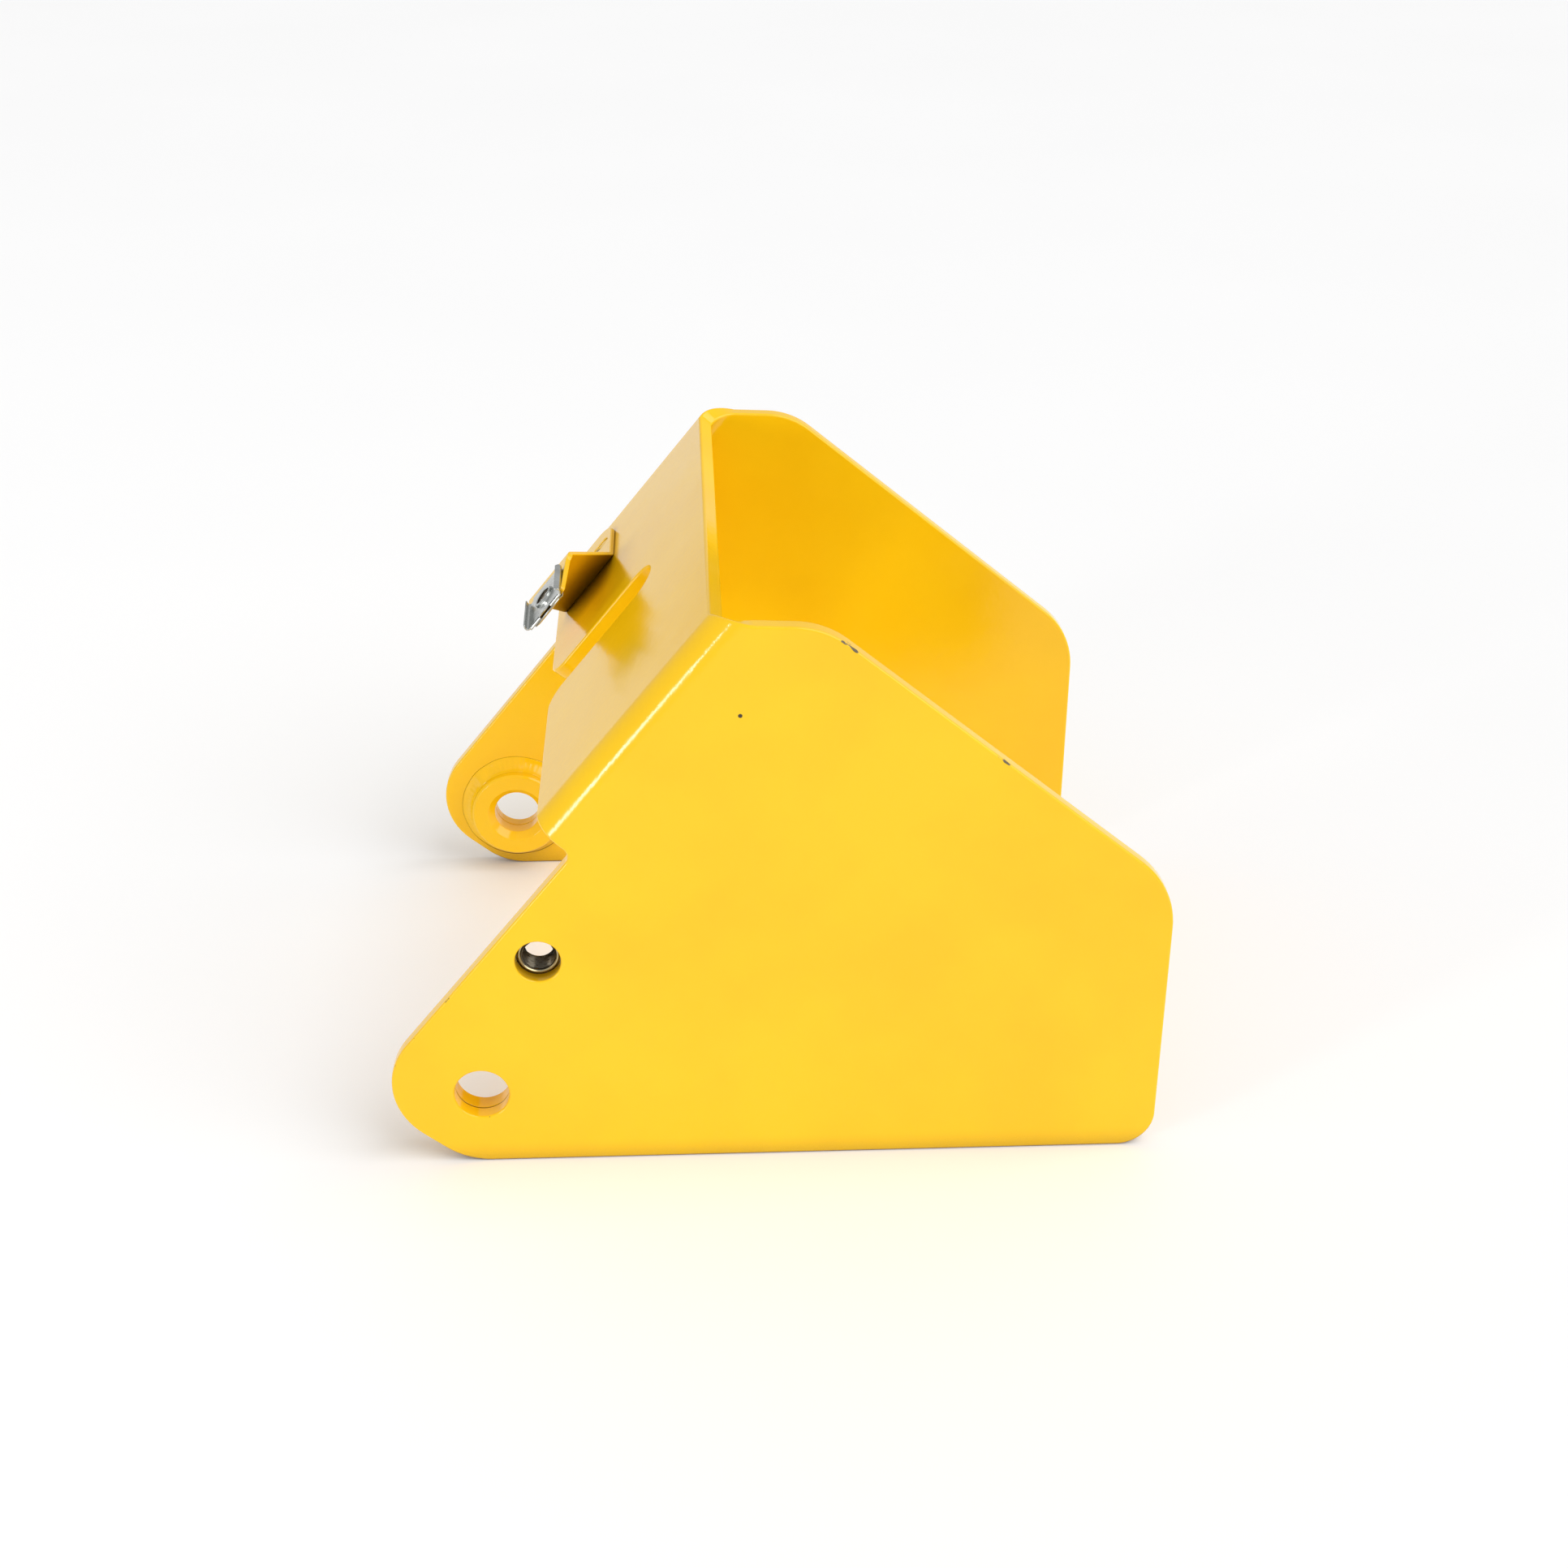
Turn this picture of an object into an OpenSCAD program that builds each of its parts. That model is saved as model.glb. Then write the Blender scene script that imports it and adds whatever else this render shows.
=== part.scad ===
// Pivoting guard hood: a folded steel sheet with two cheeks joined by a raked web,
// a welded pivot boss in each cheek, a welded side nut, and a cranked bracket on the
// web that carries a U-shaped clip nut.
// Origin: on the pivot axis, midway between the cheeks.  +X runs from the pivot
// towards the tail edge, +Y from the near cheek to the far cheek, +Z up.

/* [Folded sheet] */
// Overall width over the outer faces of the two cheeks
hood_w = 220; // [160:1:300]
// Thickness of the folded sheet
sheet_t = 6; // [4:0.5:8]
// Inside radius of the two long bends
bend_r = 5; // [3:0.5:8]
// Rake of the web and of the lower slanted edge, from horizontal
rake = 51; // [45:0.5:57]
// Distance from the pivot axis to the web's outer face
web_off = 47.4; // [44:0.2:56]
// Distance from the pivot axis to the cheeks' lower slanted edge
slant_off = 32.1; // [29:0.1:34]
// Lower end of the web, measured up the slope from the pivot
web_lo = 95; // [80:1:105]
// Upper end of the web, measured up the slope from the pivot
web_hi = 187; // [176:1:196]
// Inside fillet between the web's lower end and the slanted edge
notch_r = 4; // [2:0.5:6]

/* [Cheek outline] */
// Height of the pivot axis above the bottom edges
pivot_h = 28.1; // [27:0.1:36]
// Distance from the pivot axis to the upright tail edge
tail_x = 236.7; // [200:1:280]
// Distance from the pivot axis to the sloping upper edge, square to it
slope_off = 209; // [198:1:222]
// Distance from the pivot axis to the top edge, square to it
top_off = 178.3; // [165:1:190]
// Fall of the top edge towards the tail, in degrees
top_fall = 2.2; // [0:0.1:5]
// Radius of the pivot lobe, also the distance from the axis to its chamfered side
lobe_r = 26; // [24:0.5:27]
// Corner radius between the bottom and tail edges
tail_low_r = 13; // [6:1:20]
// Corner radius between the tail and sloping edges
tail_high_r = 33; // [15:1:40]
// Corner radius between the sloping and top edges
crown_r = 29; // [15:1:40]

/* [Pivot] */
// Pivot bore diameter
pivot_d = 19; // [12:0.5:22]
// Outside diameter of a pivot boss
boss_d = 38; // [34:0.5:40]
// How far a boss stands in from its cheek
boss_h = 8.8; // [6:0.2:14]
// Depth of the countersink in a boss's inner face
boss_sink = 2.8; // [1:0.2:4]
// Leg of the fillet weld around a boss
weld_leg = 5; // [3:0.5:6]

/* [Side nut] */
// Place of the side nut along X
side_x = 21.8; // [18:0.2:30]
// Place of the side nut above the pivot axis
side_z = 53.4; // [50:0.2:60]
// Clearance hole in the cheek for the nut's collar
side_hole_d = 15.4; // [15:0.1:17]
// Minor diameter of the side nut's thread
side_thread_d = 10.2; // [8:0.1:11]
// Across flats of the side nut
side_af = 19; // [18:0.5:24]
// Height of the side nut's body
side_nut_h = 8; // [6:0.5:12]
// Collar of the side nut that enters the cheek
side_collar_h = 1.6; // [1:0.1:3]

/* [Web slot] */
// Width of the slot that is open at the web's lower end
slot_w = 19; // [12:0.5:24]
// Upper end of the slot, measured up the slope from the pivot
slot_end = 155.5; // [140:0.5:165]
// Radius of the two corners at the slot's mouth
slot_mouth_r = 9; // [4:0.5:12]

/* [Clip bracket] */
// Thickness of the bracket sheet
bracket_t = 2; // [1.5:0.25:3]
// Width of the bracket along the web
bracket_w = 31; // [29:0.5:36]
// Lower end of the bracket, measured up the slope from the pivot
bracket_lo = 101.2; // [98:0.2:106]
// Where the bracket leaves the web, from the middle of the hood
bracket_fold_y = 60; // [56:0.5:66]
// Length of the bracket's foot on the web
bracket_foot = 34; // [28:0.5:36]
// Corner radius of the foot
bracket_corner_r = 9; // [4:0.5:12]
// Rise of the bracket's arm, in degrees from the web
arm_angle = 32.7; // [28:0.1:36]
// Length of the arm along its slope
arm_len = 34.1; // [32:0.1:38]
// How far the arm's lower side tapers in towards the flange
arm_taper = 5.6; // [0:0.2:6]
// Droop of the outer flange towards the web, in degrees
flange_droop = 1.3; // [0:0.1:3]
// Length of the outer flange, with its tongue
flange_len = 26.5; // [25.5:0.5:28]
// Length of the flange's full-width root, up to the shoulders of the tongue
flange_root = 8; // [6:0.5:10]
// Width of the tongue that carries the clip
tongue_w = 18.6; // [16:0.2:19]
// Width of the slot weld in the foot
plug_w = 5.5; // [4:0.5:8]
// Length of the slot weld in the foot
plug_len = 26; // [12:0.5:27]
// Middle of the slot weld, from the bracket's fold
plug_in = 20; // [16:0.5:22]
// Depth that the weld stays below the foot's surface
plug_low = 0.6; // [0.2:0.1:1]

/* [Clip nut] */
// Width of the spring clip over its sides
clip_w = 20.3; // [19.5:0.1:22]
// Shift of the clip and the tongue up the slope, from the middle of the bracket
clip_up = 2.4; // [1:0.1:3]
// Length of the spring clip from its front fold to its back edge
clip_len = 26; // [24:0.5:27]
// How far the clip's front fold stands beyond the tongue
clip_lead = 6.5; // [5:0.5:8]
// Thickness of the spring strip
clip_t = 0.6; // [0.5:0.1:0.8]
// Height over the pinched front fold
clip_fold_h = 1.4; // [1.3:0.1:1.7]
// Height of the clip's turned-up sides
clip_side_h = 3; // [2:0.25:4]
// Inward lean of the turned-up sides, in degrees
clip_side_lean = 38; // [20:1:45]
// Length of the turned-up sides
clip_side_len = 23; // [18:0.5:24]
// Distance from the front fold to the threaded neck
clip_hole_in = 12.5; // [12:0.25:13.5]
// Minor diameter of the clip's thread
clip_thread_d = 6.8; // [5:0.1:7]
// Outside diameter of the clip's threaded neck
clip_neck_d = 10; // [9:0.5:11]
// Height of the threaded neck above the clip
clip_neck_h = 1.2; // [0.8:0.1:1.6]
// Clearance hole in the tongue and in the clip's lower leaf
clip_hole_d = 8.6; // [8:0.1:9]
// Width of the clip's lower leaf
clip_leaf_w = 14; // [11:0.5:16]
// Length of the relief slot in the front fold
clip_relief = 6; // [3:0.5:8]
// Gap between the tongue and each leaf of the clip
clip_gap = 0.1; // [0.05:0.05:0.2]

/* [Hidden] */
$fn = 96;

eps = 0.01;                             // overlap that keeps unions and cuts clean
reach = 400;                            // larger than the hood in every direction
bend_out = bend_r + sheet_t;            // outside radius of the long bends
half_w = hood_w / 2;
bend_y = half_w - bend_out;             // bend axis, from the middle of the hood
arc_step = 5;                           // largest turn between two points of an outline corner, degrees

// A straight edge is [direction of its outward normal, distance from the pivot].
edge_slant = [90 + rake, slant_off];
edge_lobe = [rake - 180, lobe_r];
edge_bottom = [-90, pivot_h];
edge_tail = [0, tail_x];
edge_slope = [rake, slope_off];
edge_top = [90 - top_fall, top_off];
edge_web = [90 + rake, web_off];
edge_notch = [rake - 180, -web_lo];

// Point where two straight edges cross
function cross_point(a, b) =
    let (d = sin(b[0] - a[0]))
    [(a[1] * sin(b[0]) - b[1] * sin(a[0])) / d, (b[1] * cos(a[0]) - a[1] * cos(b[0])) / d];

// The edges of the side view in order, each with the radius of the corner that follows it
side_edges = [edge_slant, edge_lobe, edge_bottom, edge_tail, edge_slope, edge_top, edge_web, edge_notch];
side_radii = [lobe_r, lobe_r, tail_low_r, tail_high_r, crown_r, 0, 0, notch_r];

// Turn from one edge to the next: positive at an outside corner
function turn(a, b) = let (d = b[0] - a[0]) d > 180 ? d - 360 : d <= -180 ? d + 360 : d;

// Outward normal of an edge
function normal(e) = [cos(e[0]), sin(e[0])];

// Start of the arc that rounds the corner between edges a and b, and its centre
function arc_start(a, b, r) = cross_point(a, b) - r * tan(abs(turn(a, b)) / 2) * [-sin(a[0]), cos(a[0])];
function arc_centre(a, b, r) = arc_start(a, b, r) - sign(turn(a, b)) * r * normal(a);

// Points along the arc of the corner between edges a and b
function arc_points(a, b, r) =
    let (steps = ceil(abs(turn(a, b)) / arc_step))
    [
        for (i = [0:steps])
            let (w = a[0] + turn(a, b) * i / steps)
            arc_centre(a, b, r) + sign(turn(a, b)) * r * [cos(w), sin(w)]
    ];

// Corner points of an outline: a rounded corner follows its arc
function outline_points(edges, radii) = [
    for (i = [0:len(edges) - 1])
        let (a = edges[i], b = edges[(i + 1) % len(edges)], r = radii[i])
        each r > 0 ? arc_points(a, b, r) : [cross_point(a, b)]
];

// A flat outline of straight edges with rounded corners
module edged_outline(edges, radii) {
    polygon(outline_points(edges, radii));
}

// Places its children in the web's own frame: x up the slope, y across, z out of the web
module web_frame() {
    rotate([0, -rake, 0]) children();
}

// Stands a flat X-Z outline up as a plate between y_from and y_from + thick
module upright(y_from, thick) {
    translate([0, y_from + thick, 0]) rotate([90, 0, 0]) linear_extrude(thick) children();
}

// A bar along Y, round unless sides is given
module cross_bar(x, z, d, y_from, y_to, sides = $fn) {
    translate([x, y_from, z]) rotate([-90, 0, 0]) cylinder(h = y_to - y_from, d = d, $fn = sides);
}

// ---- folded sheet ----

// One corner-rounded block of the section: it ends at top and runs far down
module section_block(half, top, r) {
    translate([-half, -reach]) square([2 * half, reach + top - r]);
    translate([r - half, 0]) square([2 * (half - r), top]);
    for (side = [-1, 1]) translate([side * (half - r), top - r]) circle(r);
}

// Section square to the slope: the web between its two bends, and the cheeks below them
module fold_section() {
    difference() {
        section_block(half_w, web_off, bend_out);
        section_block(half_w - sheet_t, web_off - sheet_t, bend_r);
    }
}

// The folded sheet: its side view and its section, each run straight through the other
module folded_sheet() {
    intersection() {
        upright(-half_w - 1, hood_w + 2) edged_outline(side_edges, side_radii);
        web_frame() translate([-reach, 0, 0]) rotate([90, 0, 90]) linear_extrude(2 * reach) fold_section();
    }
}

// What is taken out of the web: the slot, open at the lower end, and the square upper end
module web_openings() {
    mouth = slot_w / 2 + slot_mouth_r;
    web_frame() translate([0, 0, web_off - sheet_t - 1]) linear_extrude(sheet_t + 2) {
        translate([web_lo - 1, -slot_w / 2]) square([slot_end - slot_w / 2 - web_lo + 1, slot_w]);
        translate([slot_end - slot_w / 2, 0]) circle(d = slot_w);
        for (side = [-1, 1])
            difference() {
                translate([web_lo - 1, side > 0 ? 0 : -mouth]) square([slot_mouth_r + 1, mouth]);
                translate([web_lo + slot_mouth_r, side * mouth]) circle(slot_mouth_r);
            }
        translate([web_hi, -bend_y]) square([reach, 2 * bend_y]);
    }
}

module hood_shell() {
    color("gold") difference() {
        folded_sheet();
        web_openings();
        cross_bar(0, 0, pivot_d, -half_w - 1, half_w + 1);
        cross_bar(side_x, side_z, side_hole_d, -half_w - 1, -half_w + sheet_t + 1);
    }
}

// ---- pivot bosses and their welds ----

boss_in = half_w - sheet_t - boss_h;    // inner face of a boss, from the middle

module pivot_boss() {
    color("gold") difference() {
        cross_bar(0, 0, boss_d, -half_w + sheet_t, -boss_in);
        cross_bar(0, 0, pivot_d, -half_w, -boss_in + 1);
        translate([0, -boss_in - boss_sink, 0]) rotate([-90, 0, 0])
            cylinder(h = boss_sink, d1 = pivot_d, d2 = pivot_d + 2 * boss_sink);
    }
}

module boss_weld() {
    color("gold") translate([0, -half_w + sheet_t, 0]) rotate([-90, 0, 0]) rotate_extrude()
        translate([boss_d / 2, 0]) difference() {
            square(weld_leg);
            translate([weld_leg, weld_leg]) circle(weld_leg);
        }
}

// ---- side nut ----

module side_weld_nut() {
    seat = -half_w + sheet_t;
    color("darkkhaki") difference() {
        union() {
            cross_bar(side_x, side_z, side_af / cos(30), seat, seat + side_nut_h, 6);
            cross_bar(side_x, side_z, side_hole_d - 0.6, seat - side_collar_h, seat + eps);
        }
        cross_bar(side_x, side_z, side_thread_d, seat - side_collar_h - 1, seat + side_nut_h + 1);
    }
}

// ---- clip bracket ----

// Middle of the bracket, up the slope from the pivot
bracket_mid = bracket_lo + bracket_w / 2;
// Offset of a fold's inner corner from its outer one, along the strip
mitre_low = bracket_t * tan(arm_angle / 2);
mitre_top = bracket_t * tan((arm_angle + flange_droop) / 2);
// Top of the arm, from the middle of the hood and from the web's outer face
arm_top_y = bracket_fold_y + mitre_low - arm_len * cos(arm_angle);
arm_top_n = bracket_t + arm_len * sin(arm_angle);
plug_y = bracket_fold_y + plug_in;

// Places its children at the top of the arm, x along the web, y back along the flange
// from its free edge to the arm, z out of the flange's upper face
module flange_frame() {
    web_frame() translate([bracket_mid, arm_top_y, web_off + arm_top_n])
        rotate([flange_droop, 0, 0]) children();
}

// Side view of the cranked strip: points are [y, height above the web]
module bracket_side() {
    out = [-cos(flange_droop), -sin(flange_droop)];
    under = bracket_t * [sin(flange_droop), -cos(flange_droop)];
    low = [bracket_fold_y, 0];
    top = [arm_top_y, arm_top_n];
    free = top + out * flange_len;
    polygon([
        low, top + under + out * mitre_top, free + under, free, top,
        low + [mitre_low, bracket_t], low + [bracket_foot, bracket_t], low + [bracket_foot, 0]
    ]);
}

// Flat outline with round ends, for the slot weld and the opening it fills
module weld_outline() {
    square([plug_len - plug_w, plug_w], center = true);
    for (side = [-1, 1]) translate([side * (plug_len - plug_w) / 2, 0]) circle(d = plug_w);
}

module clip_bracket() {
    foot_y = bracket_fold_y + bracket_foot;
    hi = bracket_lo + bracket_w;
    color("gold") difference() {
        web_frame() translate([bracket_lo, 0, web_off]) rotate([90, 0, 90])
            linear_extrude(bracket_w) bracket_side();
        // corners of the foot
        for (side = [0, 1])
            web_frame() translate([side == 0 ? bracket_lo : hi, foot_y, web_off - 1]) mirror([side, 0, 0])
                linear_extrude(bracket_t + 2) difference() {
                    translate([-1, -bracket_corner_r]) square(bracket_corner_r + 1);
                    translate([bracket_corner_r, -bracket_corner_r]) circle(bracket_corner_r);
                }
        // taper of the arm's lower side
        web_frame() translate([bracket_lo, 0, web_off + bracket_t])
            rotate([0, atan(arm_taper / (arm_top_n - bracket_t)), 0])
            translate([-reach, -reach / 2, 0]) cube([reach, reach / 2 + arm_top_y + arm_len / 2, reach]);
        // shoulders of the tongue
        for (side = [0, 1])
            flange_frame() translate([clip_up, 0, 0]) mirror([side, 0, 0])
                translate([tongue_w / 2, -flange_len - 1, -bracket_t - 1])
                cube([bracket_w, flange_len + 1 - flange_root, bracket_t + 2]);
        // opening for the slot weld and hole under the clip
        web_frame() translate([bracket_mid, plug_y, web_off - 1]) linear_extrude(bracket_t + 2) weld_outline();
        flange_frame() translate([clip_up, clip_hole_y, -bracket_t - 1])
            cylinder(h = bracket_t + 2, d = clip_hole_d);
    }
}

module bracket_slot_weld() {
    color("gold") web_frame() translate([bracket_mid, plug_y, web_off])
        linear_extrude(bracket_t - plug_low) weld_outline();
}

// ---- clip nut ----

// The clip's fold stands in front of the tongue; y is measured from the top of the arm
clip_front_y = -flange_len - clip_lead;
clip_hole_y = clip_front_y + clip_hole_in;
clip_top = clip_gap + clip_t;               // upper leaf's top above the flange
clip_fold_low = clip_top - clip_fold_h;     // underside of the pinched fold
clip_leaf_top = -bracket_t - clip_gap;      // top of the lower leaf below the tongue
fold_len = 1.5;                             // length of the pinched fold
leaf_past = 2;                              // lower leaf beyond its clearance hole

// Section of a turned-up side, leaning inwards
module clip_side() {
    lean = clip_side_h * tan(clip_side_lean);
    wall = clip_t / cos(clip_side_lean);
    polygon([
        [clip_w / 2, 0], [clip_w / 2 - lean, clip_side_h],
        [clip_w / 2 - lean - wall, clip_side_h], [clip_w / 2 - wall, 0]
    ]);
}

// Side view of the front fold and the lower leaf: points are [y, height above the flange]
module clip_leaf_side() {
    back = clip_hole_y + clip_hole_d / 2 + leaf_past;
    step = -flange_len - clip_gap - bracket_t * 0.15;
    polygon([
        [clip_front_y, clip_gap], [clip_front_y, clip_fold_low], [step - clip_t / 2, clip_leaf_top - clip_t],
        [back, clip_leaf_top - clip_t], [back, clip_leaf_top], [step, clip_leaf_top],
        [clip_front_y + fold_len, clip_fold_low + clip_t], [clip_front_y + fold_len, clip_gap]
    ]);
}

module clip_spring() {
    low = clip_leaf_top - clip_t;
    color("silver") flange_frame() translate([clip_up, 0, 0]) difference() {
        union() {
            translate([-clip_w / 2, clip_front_y, clip_gap]) cube([clip_w, clip_len, clip_t]);
            for (side = [0, 1])
                mirror([side, 0, 0]) translate([0, clip_front_y + clip_side_len, clip_gap])
                    rotate([90, 0, 0]) linear_extrude(clip_side_len) clip_side();
            translate([-clip_leaf_w / 2, 0, 0]) rotate([90, 0, 90]) linear_extrude(clip_leaf_w) clip_leaf_side();
            translate([-clip_w / 2, clip_front_y, clip_fold_low])
                cube([clip_w, clip_t, clip_fold_h]);
            translate([0, clip_hole_y, clip_gap]) cylinder(h = clip_t + clip_neck_h, d = clip_neck_d);
        }
        translate([0, clip_hole_y, -1]) cylinder(h = 2 + clip_top + clip_neck_h, d = clip_thread_d);
        translate([0, clip_hole_y, low - 1]) cylinder(h = clip_t + 2, d = clip_hole_d);
        // relief slot in the front fold
        translate([-clip_relief / 2, clip_front_y - 1, clip_fold_low + clip_t / 2])
            cube([clip_relief, 1 + 2 * clip_t, clip_fold_h]);
    }
}

hood_shell();
pivot_boss();  // near_pivot_boss
mirror([0, 1, 0]) pivot_boss();  // far_pivot_boss
boss_weld();  // near_boss_weld
mirror([0, 1, 0]) boss_weld();  // far_boss_weld
side_weld_nut();
clip_bracket();
bracket_slot_weld();
clip_spring();
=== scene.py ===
import math
import random

import bmesh
import bpy
from mathutils import Matrix, Vector
from mathutils.geometry import delaunay_2d_cdt


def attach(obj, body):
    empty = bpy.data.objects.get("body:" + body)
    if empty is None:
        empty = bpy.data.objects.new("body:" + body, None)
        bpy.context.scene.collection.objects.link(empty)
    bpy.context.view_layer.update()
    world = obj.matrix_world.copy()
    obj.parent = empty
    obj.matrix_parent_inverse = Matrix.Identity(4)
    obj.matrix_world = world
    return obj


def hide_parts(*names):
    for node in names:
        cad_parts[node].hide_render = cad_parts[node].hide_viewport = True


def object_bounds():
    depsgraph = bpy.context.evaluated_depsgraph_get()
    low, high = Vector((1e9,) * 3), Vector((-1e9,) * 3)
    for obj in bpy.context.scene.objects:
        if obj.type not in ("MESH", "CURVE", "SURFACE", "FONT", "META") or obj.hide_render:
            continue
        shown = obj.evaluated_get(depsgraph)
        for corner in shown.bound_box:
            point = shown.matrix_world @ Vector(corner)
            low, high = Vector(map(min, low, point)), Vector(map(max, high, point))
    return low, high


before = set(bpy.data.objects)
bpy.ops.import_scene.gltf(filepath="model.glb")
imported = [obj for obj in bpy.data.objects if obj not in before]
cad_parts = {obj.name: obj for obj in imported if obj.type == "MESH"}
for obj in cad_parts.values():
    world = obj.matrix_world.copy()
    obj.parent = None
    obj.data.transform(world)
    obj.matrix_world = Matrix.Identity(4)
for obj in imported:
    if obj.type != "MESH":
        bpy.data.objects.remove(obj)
cad_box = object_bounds()

MM = 0.001

# Driving dimensions of the hood, in millimetres
RAKE = math.radians(51)
SHEET = 6.0
HALF_W = 110.0
BEND_R = 5.0
WEB_OFF = 47.4
WEB_LO = 95.0
WEB_HI = 187.0
SLANT_OFF = 32.1
NOTCH_R = 4.0
PIVOT_R = 9.5
BOSS_R = 19.0
BOSS_H = 8.8
BOSS_CHAMFER = 0.8
BOSS_SOFT = 0.25
BOSS_SINK = 2.8
SLOT_R = 9.5
SLOT_END = 155.5
MOUTH_R = 9.0
SIDE = (21.8, 53.4)
SIDE_R = 7.7
EDGE_R = 0.9

# The fillet weld round a boss: its leg, how far it runs into the boss and the cheek, and how full it is
WELD_LEG = 5.0
WELD_INTO_BOSS = 0.4
WELD_INTO_CHEEK = 0.3
WELD_TOP = 0.97
WELD_UNEVEN = 0.04
WELD_CROWN = 0.35
WELD_WAVE = 0.1
WELD_WAVES = (3, 5, 9, 14)
WELD_RIPPLE = 0.12
WELD_RIPPLES = 30
WELD_RIPPLE_SHARP = 0.7
WELD_LUMP = 1.1
WELD_LUMP_AT = 2.36
WELD_LUMP_SPAN = 0.17
WELD_DIAGONAL = 0.7

# The side nut, with its collar, its chamfers and its coarse thread
NUT_AF = 19.0
NUT_H = 8.0
NUT_COLLAR = 1.6
COLLAR_R = 7.4
COLLAR_EASE = 0.7
NUT_SEAT_CHAMFER = 0.6
NUT_SEAT_PAST = 1.0
NUT_FACE_CHAMFER = 0.9
NUT_FACE_PAST = 0.1
THREAD_MINOR = 5.1
THREAD_DEEP = 0.85
THREAD_PITCH = 1.75
THREAD_CREST = 1.25
THREAD_FADE = 4
THREAD_END = 0.3
THREAD_MOUTH = 0.3
THREAD_COLLAR_MOUTH = 0.4
THREAD_RUNOUT = 0.1

# The middle and the radius of one paint chip on the near cheek's outer face
CHIP = (90.3, -110.0, 144.0)
CHIP_R = 0.8

# How worn a rim is at its ends, and what knocks add along the near cheek's sloping edge
WEAR_RIM = 0.25
WEAR_UP_TO = 1.5
SCUFF_DEPTH = 6
SCUFF_FROM = 0.2
SCUFF_EXTRA = 0.8

# Driving dimensions of the clip bracket
BRACKET_T = 2.0
BRACKET_EDGE_R = 0.45
BRACKET_BEND_R = 3.0
BRACKET_LO = 101.2
BRACKET_HI = 132.2
BRACKET_FOLD_Y = 60.0
BRACKET_FOOT = 34.0
BRACKET_CORNER = 9.0
ARM_ANGLE = math.radians(32.7)
ARM_LEN = 34.1
ARM_TAPER = 5.6
DROOP = math.radians(1.3)
FLANGE_LEN = 26.5
FLANGE_ROOT = 8.0
TONGUE_W = 18.6
TONGUE_TIP_R = 1.5
TONGUE_ROOT_R = 1.2
TONGUE_EASE_PAST = 1
TONGUE_EASE_TURN = 50
TAIL_HOLE_R = 4.3

# The plug weld in the bracket's foot: its slot, its level, and the shape of its crowned, rippled top
PLUG_W = 5.5
PLUG_LEN = 26.0
PLUG_IN = 20.0
PLUG_LOW = 0.6
PLUG_LIFT = 0.1
PLUG_FLOOR = 0.02
PLUG_RINGS = 7
PLUG_CROWN = 0.55
PLUG_RIPPLE = 0.10
PLUG_RIPPLE_RATE = 1.9
PLUG_END_SHARE = 0.55
PLUG_SIDE_SHARE = 0.6

# Driving dimensions of the clip, in the frame of the bracket's flange
CLIP_UP = 2.4
CLIP_W = 20.3
CLIP_T = 0.6
CLIP_FRONT = -33.0
CLIP_BACK = -7.0
CLIP_SIDE_BACK = -10.0
CLIP_SIDE_LEAN = math.radians(38)
CLIP_SIDE_RISE = 1.1
CLIP_CORNER = 1.0
CLIP_NICK = 0.6
CLIP_EDGE_R = 0.16
CLIP_EDGE_STEPS = 3
CLIP_BEND = 1.1
CLIP_LEAF_W = 14.0
CLIP_LEAF_TAIL = 6.3
CLIP_LEAF_CORNER = 2.0
CLIP_LEAF_BEND = 0.6
CLIP_LEAF_LEAD = 0.7
CLIP_RELIEF = 6.0
CLIP_HOLE_Y = -20.5
CLIP_THREAD_R = 3.4
CLIP_THREAD_DEEP = 0.4
CLIP_THREAD_PITCH = 1.0
CLIP_NECK_R = 5.0
CLIP_NECK_H = 1.2
CLIP_GAP = 0.1
CLIP_FRONT_CUT = 0.4
CLIP_FRONT_DIP = 0.8
NECK_FOOT_IN = 0.25
NECK_FOOT_H = 0.5
NECK_TOP_IN = 0.45
NECK_TOP_EASE = 0.3
NECK_RIM_IN = 0.8
NECK_MOUTH_OUT = 0.45
NECK_THREAD_LEAD = 0.25
NECK_THREAD_CLEAR = 0.05
LIP_LAP = 1.9
LIP_DROP = 0.8
LIP_BEND = 0.5
LIP_INSET = 1.2
LIP_BELOW = 0.03
LIP_SLOT_LEAD = 0.2

# Where the lower leaf rises to the front fold: back from the clip's front, and up from the flange's face
LEAF_RISE = (1.0, -0.95)
LEAF_TIP = (0.5, -0.75)

# How far the painted shade reaches into the coat's tight corners, in metres
PAINTED_SHADE_REACH = 0.016

# The turn between neighbouring points of a round stretch
ARC_STEP = math.radians(4)

# Tolerances in the flat patterns, in millimetres
CROSS_TOL = 1e-6
ON_LINE_TOL = 1e-5
MERGE_TOL = 1e-7
START_TOL = 1e-9

# The least divisor of a mitred corner, which keeps a sharp one from reaching too far in
MITRE_LEAST = 0.35

# The cheek's straight edges as (direction of the outward normal in degrees, distance from the pivot),
# turned with the web's slope, and the radius of the corner after each
CHEEK_EDGES = [(90, SLANT_OFF), (-180, 26), (-141, 28.1), (-51, 236.7), (0, 209), (36.8, 178.3)]
CHEEK_RADII = [26, 26, 13, 33, 29]

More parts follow.
